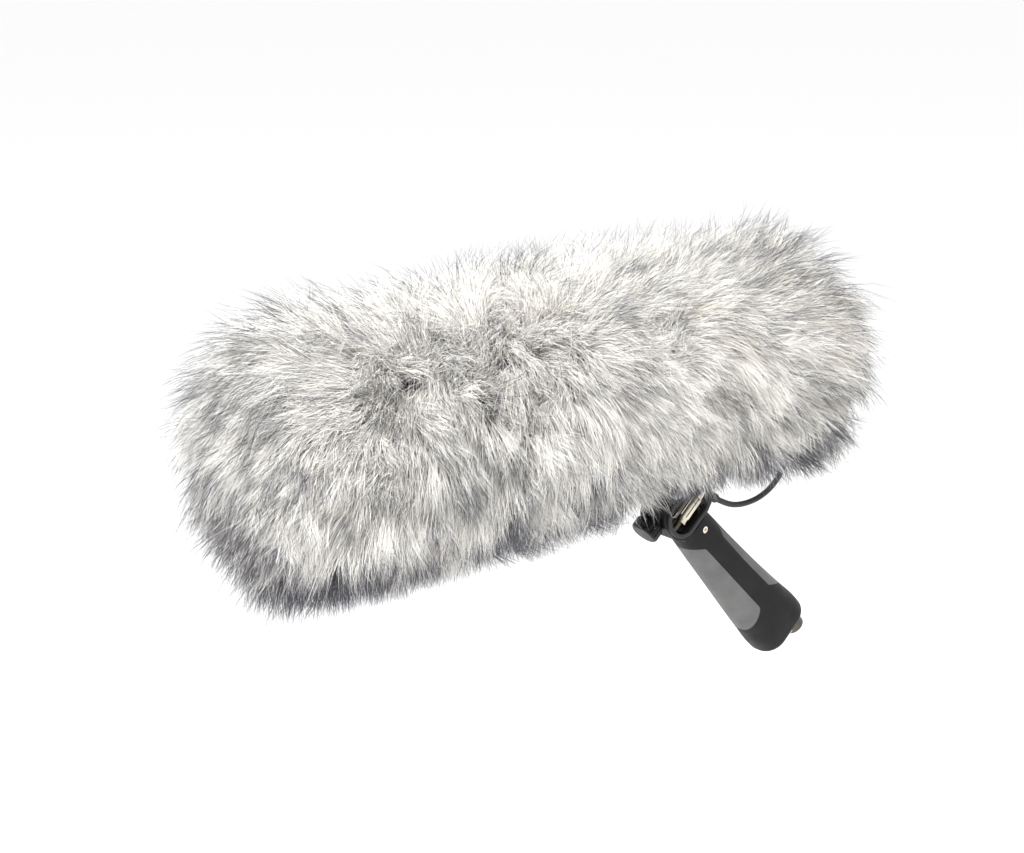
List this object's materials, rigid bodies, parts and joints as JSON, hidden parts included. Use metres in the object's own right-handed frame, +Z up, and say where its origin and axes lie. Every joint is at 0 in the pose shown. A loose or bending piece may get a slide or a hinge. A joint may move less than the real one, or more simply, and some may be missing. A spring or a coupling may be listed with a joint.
{
  "type": "furry windscreen",
  "caption": "Long-pile fur blimp windscreen for a shotgun microphone, with a slotted basket, sprung clips, a tilting pistol grip and an output lead.",
  "frame": {"origin": "mouth of the boom thread in the grip's base", "axes": "+X along the basket towards its rear, +Z up, -X the end that faces the sound"},
  "size_m": [0.556, 0.202, 0.3543],
  "materials": {
    "black_plastic": "satin",
    "grey_grip": "matte",
    "bezel_grey": "satin",
    "chrome": "polished",
    "steel": "satin",
    "nickel": "satin",
    "gold": "polished",
    "cable_black": "satin",
    "basket_plastic": "matte",
    "mesh_black": "matte",
    "rail_black": "anodised",
    "band_black": "matte",
    "fur": "long pile",
    "webbing": "matte"
  },
  "bodies": {
    "grip": {"grip_head": "black_plastic", "window_bezel_left": "bezel_grey", "window_bezel_right": "bezel_grey", "clamp_barrels": "chrome", "barrel_studs": "steel", "grip_shell_left": "black_plastic", "grip_shell_right": "black_plastic", "front_insert": "grey_grip", "rear_insert": "grey_grip", "shell_screw": "chrome", "end_cap": "black_plastic", "cap_screws": "steel", "boom_socket": "nickel", "xlr_shell": "nickel", "xlr_insulator": "black_plastic", "xlr_pins": "gold", "grip_lead": "cable_black", "lead_boot": "cable_black"},
    "knob": {"clamp_knob": "black_plastic", "clamp_screw": "steel", "clamp_washer": "steel"},
    "basket": {"saddle": "black_plastic", "hinge_pin": "steel", "pin_circlips": "steel", "cage_tube": "basket_plastic", "cage_mesh": "mesh_black", "front_collar": "basket_plastic", "rear_collar": "basket_plastic", "suspension_rail": "rail_black", "rail_screws": "steel", "lead_gland": "cable_black", "basket_lead": "cable_black", "plug_body": "nickel", "plug_insert": "black_plastic", "outer_lead": "cable_black", "fur_front_panel": "fur", "fur_body_panel": "fur", "fur_rear_panel": "fur", "slot_binding": "webbing", "loop_strip": "webbing", "hook_strip": "webbing"},
    "front_end": {"front_pod": "basket_plastic", "front_pod_mesh": "mesh_black"},
    "rear_end": {"rear_pod": "basket_plastic", "rear_pod_mesh": "mesh_black"},
    "front_suspension": {"front_hoop": "black_plastic", "front_clip": "black_plastic", "front_bands": "band_black"},
    "rear_suspension": {"rear_hoop": "black_plastic", "rear_clip": "black_plastic", "rear_bands": "band_black"},
    "front_lock": {"front_thumb_screw": "black_plastic"},
    "rear_lock": {"rear_thumb_screw": "black_plastic"}
  },
  "joints": [
    {"name": "tilt", "type": "hinge", "parent": "grip", "child": "basket", "pos_m": [-0.15531, 0, 0.15082], "axis": [0, 1, 0], "range_deg": [-40, 10], "deforming": ["outer_lead"]},
    {"name": "clamp_turn", "type": "hinge", "parent": "grip", "child": "knob", "pos_m": [-0.16643, 0, 0.11833], "axis": [0.7431, 0, 0.6691], "continuous": true},
    {"name": "front_pod_twist", "type": "hinge", "parent": "basket", "child": "front_end", "pos_m": [-0.46631, 0, 0.24182], "axis": [1, 0, 0], "range_deg": [0, 30]},
    {"name": "rear_pod_twist", "type": "hinge", "parent": "basket", "child": "rear_end", "pos_m": [-0.03631, 0, 0.24182], "axis": [1, 0, 0], "range_deg": [0, 30]},
    {"name": "front_hoop_slide", "type": "slide", "parent": "basket", "child": "front_suspension", "axis": [1, 0, 0], "range_m": [-0.03, 0.03]},
    {"name": "rear_hoop_slide", "type": "slide", "parent": "basket", "child": "rear_suspension", "axis": [1, 0, 0], "range_m": [-0.03, 0.03]},
    {"name": "front_lock_turn", "type": "hinge", "parent": "front_suspension", "child": "front_lock", "pos_m": [-0.33631, 0, 0.19982], "axis": [0, 0, 1], "continuous": true},
    {"name": "rear_lock_turn", "type": "hinge", "parent": "rear_suspension", "child": "rear_lock", "pos_m": [-0.20431, 0, 0.19982], "axis": [0, 0, 1], "continuous": true}
  ]
}
